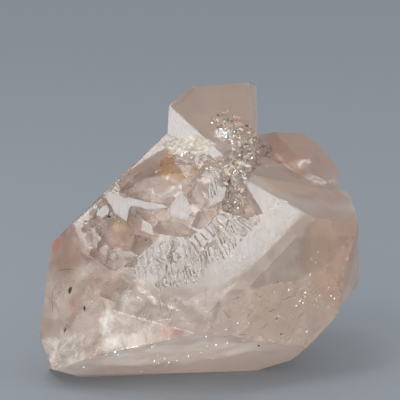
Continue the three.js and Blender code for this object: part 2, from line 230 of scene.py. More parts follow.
# splits each edge longer than wanted at its middle, pass by pass: a triangle with one, two or
# three split edges becomes two, three or four
def refine(points, triangles, wanted, passes=12):
    for _ in range(passes):
        corners = np.sort(triangles[:, [[0, 1], [1, 2], [2, 0]]].reshape(-1, 2), axis=1)
        keys = corners[:, 0] * len(points) + corners[:, 1]
        _, first, which = np.unique(keys, return_index=True, return_inverse=True)
        edges = corners[first]
        ends = points[edges]
        middle = ends.mean(axis=1)
        isLong = np.linalg.norm(ends[:, 0] - ends[:, 1], axis=1) > wanted(middle, edges)
        if not isLong.any():
            break
        added = np.full(len(edges), -1)
        added[isLong] = len(points) + np.arange(isLong.sum())
        points = np.vstack([points, middle[isLong]])
        added = added[which.reshape(-1, 3)]
        split = added >= 0
        count = split.sum(axis=1)
        start = np.where(count == 1, split.argmax(axis=1), (split.argmin(axis=1) + 1) % 3)
        turn = (start[:, None] + np.arange(3)) % 3
        (a, b, c), (ab, bc, ca) = (np.take_along_axis(t, turn, 1).T for t in (triangles, added))
        pieces = {
            1: [(a, ab, c), (ab, b, c)],
            2: [(b, bc, ab), (a, ab, bc), (a, bc, c)],
            3: [(a, ab, ca), (ab, b, bc), (ca, bc, c), (ab, bc, ca)],
        }
        triangles = np.vstack([triangles[count == 0], *[
            np.stack(piece, 1)[count == splits] for splits in pieces for piece in pieces[splits]
        ]])
    return points, triangles


# rows scaled to a length of 1
def unitRows(rows):
    return rows / np.maximum(np.linalg.norm(rows, axis=1, keepdims=True), 1e-12)


# normals at the corners, each the sum of those of the triangles round it by their areas, and those
# of the triangles
def cornerNormals(points, triangles):
    p = points[triangles]
    flat = np.cross(p[:, 1] - p[:, 0], p[:, 2] - p[:, 0])
    total = [np.bincount(triangles.ravel(), np.repeat(flat[:, k], 3), len(points)) for k in range(3)]
    return unitRows(np.stack(total, 1)), unitRows(flat)


# a mesh object at the origin from points in mm and triangles, smooth up to an angle or flat
def addPiece(name, points, triangles, material, smooth=None):
    mesh = bpy.data.meshes.new(name)
    mesh.vertices.add(len(points))
    mesh.vertices.foreach_set("co", (np.asarray(points) * mm).ravel())
    mesh.loops.add(triangles.size)
    mesh.loops.foreach_set("vertex_index", triangles.ravel())
    mesh.polygons.add(len(triangles))
    mesh.polygons.foreach_set("loop_start", np.arange(0, triangles.size, 3))
    mesh.update(calc_edges=True)
    mesh.validate()
    if smooth is None:
        mesh.shade_flat()
    else:
        mesh.shade_smooth()
        mesh.set_sharp_from_angle(angle=math.radians(smooth))
    mesh.materials.append(material)
    piece = bpy.data.objects.new(name, mesh)
    bpy.context.scene.collection.objects.link(piece)
    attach(piece, "root")
    print("made", name, "with", len(triangles), "triangles")
    return piece


# quartz
quartz = {
    "ior": 1.544,
    "absorbed": "#f0dfcf",  # with the density, how light warms as it passes through
    "density": 5.0,  # per m
    "polishSize": 1.4,  # mm, patches of a duller polish
    "polish": 0.08,
    "hillockSize": 0.55,  # mm, low growth hillocks
    "hillockHeight": 0.0035,
    "fibreLength": 2.4,  # mm, etch fibres on the frosted band, wider than real ones so that they show
    "fibreWidth": 0.22,
    "fibreHeight": 0.11,
    "milkSize": 2.6,  # mm, clouds of minute bubbles
    "milkShape": {"Detail": 4.0, "Roughness": 0.55, "Distortion": 0.4},
    "milkFrom": 0.34,  # noise below this is no cloud
    "milkTo": 0.74,  # and above this is its thickest
    "milkColour": "#f3ebe2",
}

# the front face's ruler: mm along the c axis, across it and out of the face, from its right-hand tip
frontFace = {
    "tip": (17.136, -10.344, 26.394),
    "along": (0.6466, 0.5125, 0.5650),
    "across": (-0.7537, 0.5436, 0.3695),
    "out": (-0.1178, -0.6647, 0.7378),
    "slack": 0.03,  # mm off the face that a point at its level may lie
    "finerFrom": (-26, 1),  # mm along and across, where it gets more points
    "looks": (-0.25, -0.80, 0.55),  # the way that the cluster's front side looks
    "turnsRear": (0.2, -0.15),  # a normal's part along that, where the rear begins and where it is full
    "fibreTurn": 40.6,  # degrees from along towards across
    "deepest": 3.5,  # mm from the face to below the deepest hollow
    # outlines along and across: the fan of ribs, then all that was etched, with the islands in it
    "fan": [(-3.6, 7), (-8, 6.6), (-14, 6.3), (-20, 7), (-23.4, 9), (-25, 12.4), (-25, 17.4), (-20, 17.4),
            (-16.4, 16), (-12.8, 12.9), (-8, 12.8), (-5, 10)],
    "frosted": [(0.6, 15.2), (0.2, 1.5), (-14, 1.6), (-20, 3.2), (-23.6, 7), (-24.8, 12), (-25.6, 17),
                (-26, 24), (-23, 29), (-16, 31.2), (-11, 30), (-4, 24)],
}
# the top crystal's etched face: its normal, its middle and how far it reaches from there, in mm
frostFace = {"normal": (-0.2480, -0.8012, 0.5446), "point": (0.227, 5.017, 38.668), "reach": 11.0}


# points measured by that ruler
def onRuler(points):
    axes = np.array([frontFace[k] for k in ("along", "across", "out")])
    return ((points - frontFace["tip"]) @ axes.T).T


# natural quartz: glassy growth faces, so sharp highlights, over a faint warm grey body. Its
# attributes say where it differs: haze is its roughness, clear how much light goes in, tint its
# colour, frost where fine etch fibres lie and milk where clouds of minute bubbles whiten it. In a
# few places tint, clear and milk also hold painted highlights, painted shade and painted light from below
naturalQuartz, tree = newMaterial("natural_quartz")
haze, clear, tint, frost, milk = (addNode(tree, "Attribute", {"attribute_name": name}, {})
                                  for name in ("haze", "clear", "tint", "frost", "milk"))
place = addNode(tree, "TexCoord", {}, {})
polish = addNode(tree, "TexNoise", {"Scale": 1 / (quartz["polishSize"] * mm), "Detail": 3.0},
                 {"Vector": (place, "Object")})
dullness = addNode(tree, "Math", {
    "operation": "MULTIPLY_ADD", 1: quartz["polish"], 2: -quartz["polish"] / 2,
}, {0: polish})
roughness = addNode(tree, "Math", {"operation": "ADD", "use_clamp": True}, {0: (haze, "Fac"), 1: dullness})
clouds = addNode(tree, "TexNoise", {"Scale": 1 / (quartz["milkSize"] * mm), **quartz["milkShape"]},
                 {"Vector": (place, "Object")})
cloudy = addNode(tree, "MapRange", {"From Min": quartz["milkFrom"], "From Max": quartz["milkTo"]},
                 {"Value": clouds})
milkHere = addNode(tree, "Math", {"operation": "MULTIPLY"}, {0: cloudy, 1: (milk, "Fac")})
goesIn = addNode(tree, "Math", {"operation": "SUBTRACT", "use_clamp": True},
                 {0: (clear, "Fac"), 1: milkHere})
milkier = addNode(tree, "Mix", {"data_type": "RGBA", 7: linear(quartz["milkColour"])},
                  {0: milkHere, 6: (tint, "Color")})
hillocks = addNode(tree, "TexNoise", {"Scale": 1 / (quartz["hillockSize"] * mm), "Detail": 2.0},
                   {"Vector": (place, "Object")})
hilly = addNode(tree, "Bump", {"Distance": quartz["hillockHeight"] * mm}, {"Height": hillocks})
cAxis, sideways, outward = (Vector(frontFace[k]) for k in ("along", "across", "out"))
turn = math.radians(frontFace["fibreTurn"])
lengthwise = math.cos(turn) * cAxis + math.sin(turn) * sideways
combed = addNode(tree, "Mapping", {
    "vector_type": "TEXTURE",
    "Rotation": Matrix((lengthwise, outward.cross(lengthwise), outward)).transposed().to_euler(),
    "Scale": [quartz[k] * mm for k in ("fibreLength", "fibreWidth", "fibreWidth")],
}, {"Vector": (place, "Object")})
fibres = addNode(tree, "TexNoise", {"Scale": 1.0, "Detail": 2.0}, {"Vector": combed})
fibreRise = addNode(tree, "Math", {"operation": "MULTIPLY"}, {0: fibres, 1: (frost, "Fac")})
fibrous = addNode(tree, "Bump", {"Distance": quartz["fibreHeight"] * mm},
                  {"Height": fibreRise, "Normal": hilly})
surface = addNode(tree, "BsdfPrincipled", {"IOR": quartz["ior"]}, {
    "Roughness": roughness, "Transmission Weight": goesIn, "Base Color": (milkier, 2), "Normal": fibrous,
})
stone = addNode(tree, "VolumeAbsorption", {
    "Color": linear(quartz["absorbed"]), "Density": quartz["density"],
}, {})
addNode(tree, "OutputMaterial", {}, {"Surface": surface, "Volume": stone})

# where the stone's look changes: middle and half-widths of the patch in mm, its tint and the share
# of it, what clear, haze and milk become, how patchy it is and how many mm its grit stands out
patches = {
    "topCrystal": {
        "middle": (3.2, 10.5, 41.5), "reach": (9.5, 8, 7.5), "tint": "#e5c8b4", "share": 0.9, "milk": 0.05,
    },
    "rightCrystal": {
        "middle": (17, 15, 34), "reach": (10, 9, 6), "tint": "#eebfa8", "share": 1.0, "milk": 0.06,
    },
    "shoulder": {
        "middle": (16, 3.5, 30), "reach": (10, 8, 5), "tint": "#c89f82", "share": 0.9, "milk": 0,
        "clear": 0.8, "haze": 0.16,
    },
    "rightPane": {
        "middle": (18.5, -9.5, 20), "reach": (6, 6, 7), "tint": "#c2a48e", "share": 0.9, "clear": 0.78,
        "haze": 0.2,
    },
    # painted highlights: two pale, less clear patches on the right crystal's foot stand in for soft glints
    # of light there
    "highlightFan": {
        "middle": (18.6, 8.0, 29.8), "reach": (2.4, 2.2, 1.5), "tint": "#f4dfcf", "share": 0.8,
        "clear": 0.64, "patchy": 0.35,
    },
    "highlightPlait": {
        "middle": (15.6, 9.4, 32.0), "reach": (2.6, 2.2, 1.4), "tint": "#f2d6c4", "share": 0.75,
        "clear": 0.7, "patchy": 0.35,
    },
    "rustRight": {"middle": (20, 12.5, 33), "reach": (1.5, 2.5, 1.4), "tint": "#b07a62", "share": 0.5},
    "rightEdge": {"middle": (21, -6, 20), "reach": (6, 9, 10), "tint": "#dcbba2", "share": 0.9},
    "lowerLeft": {
        "middle": (-17, -15, 12), "reach": (11, 8, 9), "tint": "#ecd9ca", "share": 0.8, "milk": 0.3,
    },
    "lowerMiddle": {
        "middle": (-4, -21, 11), "reach": (13, 7, 6), "tint": "#f4e5d8", "share": 0.85, "milk": 0.4,
    },
    # painted light: the band along the underside is tinted pale pink-cream, less clear and milkier, to
    # stand in for light that reaches it from below
    "litUnderBand": {
        "middle": (-4, -17.5, 4.8), "reach": (18, 6, 5), "tint": "#ffe9d8", "share": 1.0, "clear": 0.4,
        "milk": 0.5,
    },
    "lowerRight": {
        "middle": (12, -14, 12), "reach": (9, 6, 8), "tint": "#e3d2c1", "share": 0.8, "milk": 0.2,
    },
    "milkPatch": {
        "middle": (-15.4, -18.5, 11.0), "reach": (1.7, 2.0, 2.2), "tint": "#f8f3ee", "share": 0.8,
        "milk": 0.75,
    },
    "milkGlow": {
        "middle": (-13.8, -18.5, 7.8), "reach": (3.4, 3.0, 3.0), "tint": "#f6f0ea", "share": 0.8,
        "milk": 0.62,
    },
    "milkFoot": {
        "middle": (-21.5, -13, 5.0), "reach": (6, 6, 4.4), "tint": "#efe7e0", "share": 0.8, "milk": 0.6,
    },
    "palePane": {
        "middle": (-12.4, -17.2, 14.8), "reach": (1.6, 1.8, 1.6), "tint": "#f1efe8", "share": 0.6,
        "milk": 0.4,
    },
    "rosePane": {
        "middle": (-16.0, -14.3, 16.0), "reach": (3.0, 3.0, 3.2), "tint": "#e3bdae", "share": 0.6,
        "milk": 0.2,
    },
    "leftFace": {"middle": (-20.5, -7, 20.5), "reach": (5, 5, 5), "tint": "#cba897", "share": 1.0},
    "lens": {"middle": (-11.5, -7, 23), "reach": (5.5, 5, 3.2), "tint": "#e2ad9b", "share": 0.9},
    "clearWindow": {"middle": (-8.5, 2, 30.6), "reach": (7, 5, 4), "tint": "#ddb9a9", "share": 0.85},
    "rustFoot": {
        "middle": (-6.0, 3.2, 33.8), "reach": (1.4, 2.4, 2.4), "tint": "#b27c2c", "share": 0.95,
        "clear": 0.6, "patchy": 0.45,
    },
    "rustStem": {
        "middle": (-6.5, 2.0, 31.6), "reach": (1.1, 1.9, 2.0), "tint": "#c9934e", "share": 0.7,
        "clear": 0.7, "patchy": 0.3,
    },
    "rustToe": {
        "middle": (-3.9, 1.3, 31.3), "reach": (3.0, 2.2, 1.6), "tint": "#c08a34", "share": 0.95,
        "clear": 0.6, "patchy": 0.3,
    },
    "rustHollow": {
        "middle": (-3.2, 0.9, 32.0), "reach": (2.8, 2.4, 1.7), "tint": "#d6a55e", "share": 0.8,
        "clear": 0.82, "patchy": 0.3,
    },
    "rustLip": {
        "middle": (0.6, 0.4, 31.6), "reach": (1.6, 1.6, 1.6), "tint": "#cf9a55", "share": 0.7, "clear": 0.8,
    },
    "yellowCorner": {
        "middle": (-13.6, -5.2, 24.6), "reach": (1.6, 1.6, 1.6), "tint": "#d3bd6e", "share": 0.9,
        "clear": 0.75,
    },
    "redCorner": {
        "middle": (-23.9, -6.6, 21.5), "reach": (1.1, 1.4, 1.4), "tint": "#b5695c", "share": 0.9,
        "clear": 0.7,
    },
    "roseStreak": {
        "middle": (-20.9, -13.4, 12.6), "reach": (0.7, 1.2, 2.3), "tint": "#dd9a88", "share": 0.7,
        "clear": 0.85,
    },
    "roseFleck": {
        "middle": (-5.1, -22.7, 10.7), "reach": (2.4, 1.6, 0.7), "tint": "#dc9a8a", "share": 0.8,
        "clear": 0.85,
    },
    "creamCrust": {
        "middle": (-2.4, 4.0, 36.0), "reach": (4.4, 3.4, 1.9), "tint": "#f3ead8", "share": 0.95,
        "clear": 0.35, "haze": 0.45, "grit": 0.34,
    },
    "whiteCrust": {
        "middle": (3.3, 4.3, 38.2), "reach": (1.9, 1.7, 1.3), "tint": "#f7f6f4", "share": 0.95,
        "clear": 0.3, "haze": 0.3, "grit": 0.26,
    },
    "creamKnob": {
        "middle": (5.5, -0.6, 34.0), "reach": (1.5, 1.5, 1.2), "tint": "#eadcc0", "share": 0.9,
        "clear": 0.4, "haze": 0.45, "grit": 0.2,
    },
    "creamKnobLow": {
        "middle": (4.1, -1.0, 32.3), "reach": (1.1, 1.2, 1.1), "tint": "#e6d6b4", "share": 0.9,
        "clear": 0.4, "haze": 0.45, "grit": 0.2,
    },
    # painted shade: the cleft's wall is tinted grey for the shade that it shows
    "shadedCleft": {"middle": (8.4, -6.0, 28.6), "reach": (1.6, 1.6, 2.6), "tint": "#b4b0ac", "share": 0.8},
}
edgeLengths = {  # mm, the longest edge that is left whole
    "plain": 1.4,
    "foot": 1.0,
    "front": 0.5,
    "hollow": 0.4,
    "grit": 0.25,  # on the crusts and ridges
    "fan": 0.21,
    "rim": 0.7,  # along the crystals' edges
}
relief = {  # mm
    "footTop": (19, 15),  # the foot begins between these heights
    "hill": (0.05, 5.0),  # height and width of the growth hills on the facets
    "ripple": (0.012, 1.7),
    "rear": (0.16, 2.6),  # of the bumps on the rear and under faces
    "nick": (0.03, 0.7),  # how much is worn off the edges, and how wide a nick is
    "creaseLean": 8,  # degrees that a facet leans from a corner's normal, where the corner is an edge's
    "gritSize": 0.42,  # of the crusts' grains
    "flake": (0.56, 2.2),  # width and length of the fan's flakes
    "flakeFoot": 8,  # mm across the face, where the flakes start
    "flakeTurn": ((-24, -4), (45, 10)),  # places along the face, and degrees off square there
    "sunkFrom": 0.55,  # a flake whose random number from 0 to 1 is above this has sunk
    "flakeDrop": 0.22,  # that number times this is how far
    "sunkLean": 0.28,  # how far a sunk flake's rim rises or falls
    "flakeLean": 0.015,  # and that of one at the level of the face
    "shard": (1.5, 3.0),  # width and length of the plates in the hollows
    "shardLean": 0.3,  # how far its rim rises or falls
    "pane": (4.6, 3.3),  # width and height of the faint panes on the foot
    "paneLean": 0.16,
}
finish = {
    "clear": 0.9,  # share of the light that goes in
    "rearClear": -0.22,  # what the rear faces add to it
    "frostClear": 0.66,
    "grooveClear": (0.5, 0.25),  # least, and how much more in some panes
    "hollowClear": -0.2,  # what the hollows add to it at most
    "milk": 0.12,
    "paneMilk": 0.22,
    "haze": (0.05, 0.05, 2.5),  # roughness: least, how much more, and mm across its patches
    "rearHaze": (0.32, 0.14, 4.0),
    "frostHaze": 0.1,
    "creaseHaze": 0.04,
    "fadedHaze": 0.2,  # where the etching fades
    "tint": "#ebd9cb",
    "rearTint": "#e4d2c6",
    "frostTint": "#f1edeb",
    "sunkTint": "#fbf5f2",
    "grooveTint": "#f8f0ea",
    "shardTints": ("#d3b4a5", "#efe6de"),
    "gritShade": 0.55,  # how much darker it is between the grains
    "paneShade": 0.14,  # how much paler or darker a pane is
}


# 1 in the middle of a patch, fading to 0 from 0.7 of its half-widths on, with a ragged outline
def inPatch(points, patch, seed):
    away = np.linalg.norm((points - patch["middle"]) / patch["reach"], axis=1)
    ragged = away + 0.3 * rough(points, 0.6 * min(patch["reach"]), seed)
    return ramp(ragged, 1.05, 0.7) * (1 - patch.get("patchy", 0) * scatter(points, 0.6, seed + 70))


# a merged copy of the cluster, its flat facets cut afresh into fewer triangles
shell = bmesh.new()
shell.from_mesh(cluster.data)
bmesh.ops.remove_doubles(shell, verts=shell.verts, dist=1e-8)
bmesh.ops.dissolve_limit(shell, angle_limit=math.radians(0.3), verts=shell.verts, edges=shell.edges)
bmesh.ops.triangulate(shell, faces=shell.faces, ngon_method="BEAUTY")
points = np.array([v.co for v in shell.verts]) / mm
triangles = np.array([[v.index for v in f.verts] for f in shell.faces])
shell.free()
skin = BVHTree.FromPolygons(points.tolist(), triangles.tolist())  # what is sealed inside is placed by it


# rays from the camera through spots of its square frame, in pixels, bent where they enter the
# stone and followed "depth" mm on; gives the places, the directions there, the facets' normals
# and the normals of mirrors there that throw a lamp's light back along the rays
def sightPlaces(spots, depths):
    cameraTurn = camera.rotation_euler.to_matrix()
    above, ahead = (Vector(studio["lamps"][name]["centre"]) / mm for name in ("overhead", "frontFill"))
    width = view["frameWidth"] / view["distance"]
    rows = []
    for (u, v), depth in zip(spots, depths):
        side, lift = (u / view["framePixels"] - 0.5) * width, (0.5 - v / view["framePixels"]) * width
        spot, normal, _, _ = skin.ray_cast(eye, cameraTurn @ Vector((side, lift, -1)))
        lamp = above if (above - spot).dot(normal) > 60 else ahead  # mm that it stands over the facet
        way, fromLamp = (spot - eye).normalized(), (spot - lamp).normalized()
        if depth > 0:
            way, fromLamp = bend(way, normal), bend(fromLamp, normal)
        rows.append((spot + way * depth, way, normal, (-way - fromLamp).normalized()))
    return np.array(rows).transpose(1, 0, 2)


# a ray that enters quartz: its part along the surface shrinks by the refractive index
def bend(ray, normal):
    level = (ray - normal * ray.dot(normal)) / quartz["ior"]
    return level - normal * math.sqrt(max(0, 1 - level.length_squared))


# wavy ridges on the right crystal's foot, with a painted highlight: each is tinted pale cream and made less
# clear, so that it stands in for the light that it catches
ridges = {
    "runs": [  # how strong each is and the spots across and down the frame that it runs through
        (1.0, [(300, 164), (304, 162), (310, 161)]),
        (0.6, [(276, 156), (281, 159), (286, 165), (290, 168)]),
        (0.35, [(290, 168), (297, 172), (304, 177)]),
        (0.5, [(309, 179), (314, 177), (320, 178)]),
        (0.75, [(313, 183), (317, 182), (321, 184)]),
        (0.4, [(324, 183), (330, 182), (335, 181)]),
    ],
    "height": 0.12,  # mm
    "halfWidth": 0.5,
    "waveSize": 0.9,  # mm along x and half of that the other ways
    # painted highlight: the pale cream that the ridges are tinted towards
    "tint": "#fff6ec",
    "highlightClouding": 0.75,  # share of its clearness that a ridge takes away
    "haze": 0.1,
}
ridgeEnds = []
for strength, run in ridges["runs"]:
    path = sightPlaces(np.array(run, float), np.zeros(len(run)))[0]
    ridgeEnds += [(strength, *ends) for ends in zip(path[:-1], path[1:])]


# the ridges' height as a share, highest on their lines and falling off as a bell curve
def onRidges(points):
    most = np.zeros(len(points))
    for strength, start, end in ridgeEnds:
        span = end - start
        part = np.clip((points - start) @ span / (span @ span), 0, 1)
        away = np.linalg.norm(points - start - part[:, None] * span, axis=1)
        most = np.maximum(most, strength * np.exp(-(away / ridges["halfWidth"]) ** 2))
    return most


# the fan's flakes swing as they go along the face. Gives the place along the face that the flake
# through a point starts from, and how far up the flake the point is
def alongFlakes(along, across):
    lean = np.radians(np.interp(along, *relief["flakeTurn"]))
    up = across - relief["flakeFoot"]
    return along - up * np.tan(lean), up / np.cos(lean)


# which points lie in the hollows of the front face, more than "least" mm deep
def isHollow(along, across, out, least):
    within = inPolygon(along, across, frontFace["frosted"], 0.5) > 0.5
    return (out < -least) & (out > -frontFace["deepest"]) & within


# the longest edge wanted at each edge's middle
def plainLength(middle, edges):
    along, across, out = onRuler(middle)
    leastAlong, leastAcross = frontFace["finerFrom"]
    onFront = (np.abs(out) < 0.05) & (across > leastAcross) & (along > leastAlong)
    inFan = onFront & (inPolygon(along, across, frontFace["fan"], 0.5) > 0.2)
    onFoot = (middle[:, 2] < relief["footTop"][0]) & (middle @ frontFace["looks"] > -3)
    length = np.where(onFront, edgeLengths["front"], edgeLengths["plain"])
    length = np.where(isHollow(along, across, out, 0.05), edgeLengths["hollow"], length)
    length = np.where(inFan, edgeLengths["fan"], length)
    length = np.where(onRidges(middle) > 0.01, edgeLengths["grit"], length)
    length = np.where(onFoot & ~onFront, edgeLengths["foot"], length)
    for patch in patches.values():
        if "grit" in patch:
            away = np.linalg.norm((middle - patch["middle"]) / patch["reach"], axis=1)
            length = np.where(away < 1.1, edgeLengths["grit"], length)
    return length


points, triangles = refine(points, triangles, plainLength)


# corners where facets meet: one of their triangles leans far from the corner's normal
def creases(points, triangles):
    corner, unit = cornerNormals(points, triangles)
    least = np.ones(len(points))
    for k in range(3):
        np.minimum.at(least, triangles[:, k], (unit * corner[triangles[:, k]]).sum(axis=1))
    return least < math.cos(math.radians(relief["creaseLean"]))


isCrease = creases(points, triangles)


# only edges that end at such a corner are split; points that a pass has added count as plain ones
def rimLength(middle, edges):
    known = np.concatenate([isCrease, np.zeros(len(edges) + len(isCrease), bool)])
    return np.where(known[edges].any(axis=1), edgeLengths["rim"], np.inf)


points, triangles = refine(points, triangles, rimLength, passes=2)
isCrease = creases(points, triangles)
normals, _ = cornerNormals(points, triangles)
along, across, out = onRuler(points)
rear = ramp(normals @ frontFace["looks"], *frontFace["turnsRear"])
onFoot = ramp(points[:, 2], *relief["footTop"]) * (1 - rear)
inHollow = isHollow(along, across, out, frontFace["slack"])

# etched: the front face, less towards its lower edges, the fan and one face of the top crystal
atLevel = np.abs(out) < frontFace["slack"]
inFan = atLevel * inPolygon(along, across, frontFace["fan"], 1.0)
frosted = atLevel * inPolygon(along, across, frontFace["frosted"], 1.6)
frosted *= ramp(along + 0.2 * across, -24, -14) * ramp(across, 0, 4)
frosted = np.maximum(frosted, 0.9 * inFan) * (0.75 + 0.25 * rough(points, 3, 51))
fromMiddle = points - frostFace["point"]
onTop = np.abs(fromMiddle @ frostFace["normal"]) < frontFace["slack"]
onTop &= normals @ frostFace["normal"] > 0.9
onTop &= np.linalg.norm(fromMiddle, axis=1) < frostFace["reach"]
frosted = np.maximum(frosted, 0.9 * onTop)

# how far each point rises in mm: growth hills where nothing is etched, bumps at the rear, worn edges
rise = relief["hill"][0] * rough(points, relief["hill"][1], 3)
rise += relief["ripple"][0] * rough(points, relief["ripple"][1], 13)
rise *= 1 - np.clip(frosted * 1.5, 0, 1)
rise += relief["rear"][0] * rough(points, relief["rear"][1], 11) * rear
rise -= relief["nick"][0] * isCrease * scatter(points, relief["nick"][1], 5)
swellAndHighlight = onRidges(points) * (0.35 + 0.65 * scatter(points * (1, 2, 2), ridges["waveSize"], 81))
rise += ridges["height"] * swellAndHighlight
# flakes: nearly half of them have sunk and lean
flakeFoot, upFlake = alongFlakes(along, across)
tilt, drop, _, _ = plates(flakeFoot, upFlake, *relief["flake"], seed=3)
hasSunk = (drop > relief["sunkFrom"]) * (inFan > 0.5)
rise -= hasSunk * (relief["flakeDrop"] * drop + relief["sunkLean"] * tilt)
rise += inFan * relief["flakeLean"] * tilt
# shards: the hollows' floors are plates that lean every way, but for two smooth windows
tilt, shardShade, _, _ = plates(flakeFoot * 0.9 + across * 0.2, upFlake, *relief["shard"], seed=8)
smooth = np.maximum(inPatch(points, patches["lens"], 6), inPatch(points, patches["clearWindow"], 7))
rise += inHollow * (1 - 0.85 * smooth) * relief["shardLean"] * ((shardShade - 0.6) * 0.6 + tilt)
# panes: the foot's faces are faint plates, each a little paler or darker than the next
paneX, paneY = points @ (1, 0, 0.4), points @ (0, -0.5, 0.9)
tilt, paneShade, paneClear, paneGroove = plates(paneX, paneY, *relief["pane"], seed=15)
rise += onFoot * relief["paneLean"] * ((paneShade - 0.5) * 0.4 + tilt)


# a colour's three parts, made linear
def rgb(code):
    return np.array(linear(code)[:3])


# colours on the way from start to end, each point by its share of the way
def mixed(start, end, share):
    return start + share[:, None] * (end - start)


# what the quartz material reads at each point
def addLooks(piece, looks, tints):
    for name, values in looks.items():
        piece.data.attributes.new(name, "FLOAT", "POINT").data.foreach_set("value", values)
    piece.data.attributes.new("tint", "FLOAT_VECTOR", "POINT").data.foreach_set("vector", tints.ravel())


least, more, size = finish["haze"]
rearLeast, rearMore, rearSize = finish["rearHaze"]
looks = {
    "haze": least + more * scatter(points, size, 21),
    "clear": finish["clear"] * (1 - frosted) + finish["frostClear"] * frosted + finish["rearClear"] * rear,
    "milk": finish["milk"] * (1 - frosted),
}
looks["haze"] += rear * (rearLeast + rearMore * scatter(points, rearSize, 23))
looks["haze"] += finish["frostHaze"] * frosted + finish["creaseHaze"] * isCrease
looks["haze"] += finish["fadedHaze"] * atLevel * ramp(along + 0.2 * across, -14, -24)
tints = mixed(rgb(finish["tint"]), rgb(finish["rearTint"]), rear)
for seed, patch in enumerate(patches.values()):
    share = inPatch(points, patch, seed)
    tints = mixed(tints, rgb(patch["tint"]), share * patch["share"])
    for name in looks:
        looks[name] = looks[name] * (1 - share) + share * patch.get(name, looks[name])
    if "grit" in patch:
        rise += share * patch["grit"] * rough(points, relief["gritSize"], seed + 40)
        tints *= 1 - finish["gritShade"] * (share * scatter(points, relief["gritSize"], seed + 50))[:, None]
tints *= 1 + finish["paneShade"] * (onFoot * (paneShade - 0.6))[:, None]
looks["milk"] += finish["paneMilk"] * onFoot * (paneShade - 0.5)
shardTint = mixed(*[rgb(code) for code in finish["shardTints"]], shardShade)
tints = mixed(tints, shardTint, 0.5 * inHollow)
looks["clear"] += finish["hollowClear"] * inHollow * paneClear
inGroove = inHollow * inPolygon(along, across, frontFace["fan"], 1.0)
tints = mixed(tints, rgb(finish["grooveTint"]), 0.6 * inGroove)
least, more = finish["grooveClear"]
looks["clear"] = looks["clear"] * (1 - inGroove) + inGroove * (least + more * paneGroove)
# the ridges' painted highlight: less clear, hazier and paler along them
looks["clear"] *= 1 - ridges["highlightClouding"] * swellAndHighlight
looks["haze"] += ridges["haze"] * swellAndHighlight
tints = mixed(tints, rgb(ridges["tint"]), swellAndHighlight)
frosted *= (1 - 0.7 * hasSunk) * (1 - 0.8 * inPatch(points, patches["rustHollow"], 91))
inWhite = np.clip(frosted * 1.2, 0, 1) * (1 - inPatch(points, patches["creamCrust"], 90))
tints = mixed(tints, rgb(finish["frostTint"]), inWhite)
tints = mixed(tints, rgb(finish["sunkTint"]), 0.8 * hasSunk)
looks["frost"] = frosted
rise *= ramp(points[:, 2], 0.05, 1.5)  # the facet it rests on stays flat
points = points + normals * rise[:, None]
body = addPiece("quartz_body", points, triangles, naturalQuartz, smooth=24)
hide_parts("quartz_cluster")
addLooks(body, looks, tints)


# what is sealed in the stone

# a closed ball: angle round it by angle from its top, in "rings" steps from pole to pole, with one
# corner at each pole
def ball(rings, sides):
    down = np.pi * np.arange(1, rings) / rings
    about = 2 * np.pi * np.arange(sides) / sides
    grid = [np.outer(np.sin(down), np.cos(about)), np.outer(np.sin(down), np.sin(about)),
            np.outer(np.cos(down), np.ones(sides))]
    corners = np.vstack([[(0, 0, 1)], np.stack(grid, 2).reshape(-1, 3), [(0, 0, -1)]])
    k, after = np.arange(sides), (np.arange(sides) + 1) % sides
    faces = [np.stack([0 * k, 1 + k, 1 + after], 1)]
    for ring in range(rings - 2):
        a, b = 1 + ring * sides, 1 + (ring + 1) * sides
        faces += [np.stack([a + k, b + k, b + after], 1), np.stack([a + k, b + after, a + after], 1)]
    last = 1 + (rings - 2) * sides
    faces.append(np.stack([last + k, 0 * k + len(corners) - 1, last + after], 1))
    return corners, np.vstack(faces)


# many copies of one small closed shape: each corner is the copy's place plus the corner's three
# coordinates along the copy's three axes, nearer or farther by a random share up to "stray"
def strew(shape, places, axes, stray, random):
    corners, faces = shape
    offsets = corners[None] * (1 + stray * random.uniform(-1, 1, (len(places), len(corners), 1)))
    points = places[:, None] + np.einsum("nck,nkx->ncx", offsets, axes)
    joined = faces[None] + len(corners) * np.arange(len(places))[:, None, None]
    return points.reshape(-1, 3), joined.reshape(-1, 3)


# three axes for each copy, scaled by its sizes: the third along "up", the first near "long"
def axesFor(long, up, sizes):
    third = unitRows(up)
    first = unitRows(long - (long * third).sum(1, keepdims=True) * third)
    return np.stack([first, np.cross(third, first), third], 1) * sizes[:, :, None]


# directions in the picture: 0 degrees to the right, 90 up
def pictureWays(degrees):
    angle = np.radians(degrees)[:, None]
    return np.cos(angle) * np.array([(1.0, 0, 0)]) + np.sin(angle) * np.array([pictureUp])


# which places lie at least "cover" mm inside the stone
def isSealed(places, cover):
    found = [skin.find_nearest(Vector(p)) for p in places]
    depth = np.array([(hit - Vector(p)).dot(normal) for p, (hit, normal, _, _) in zip(places, found)])
    return depth > cover


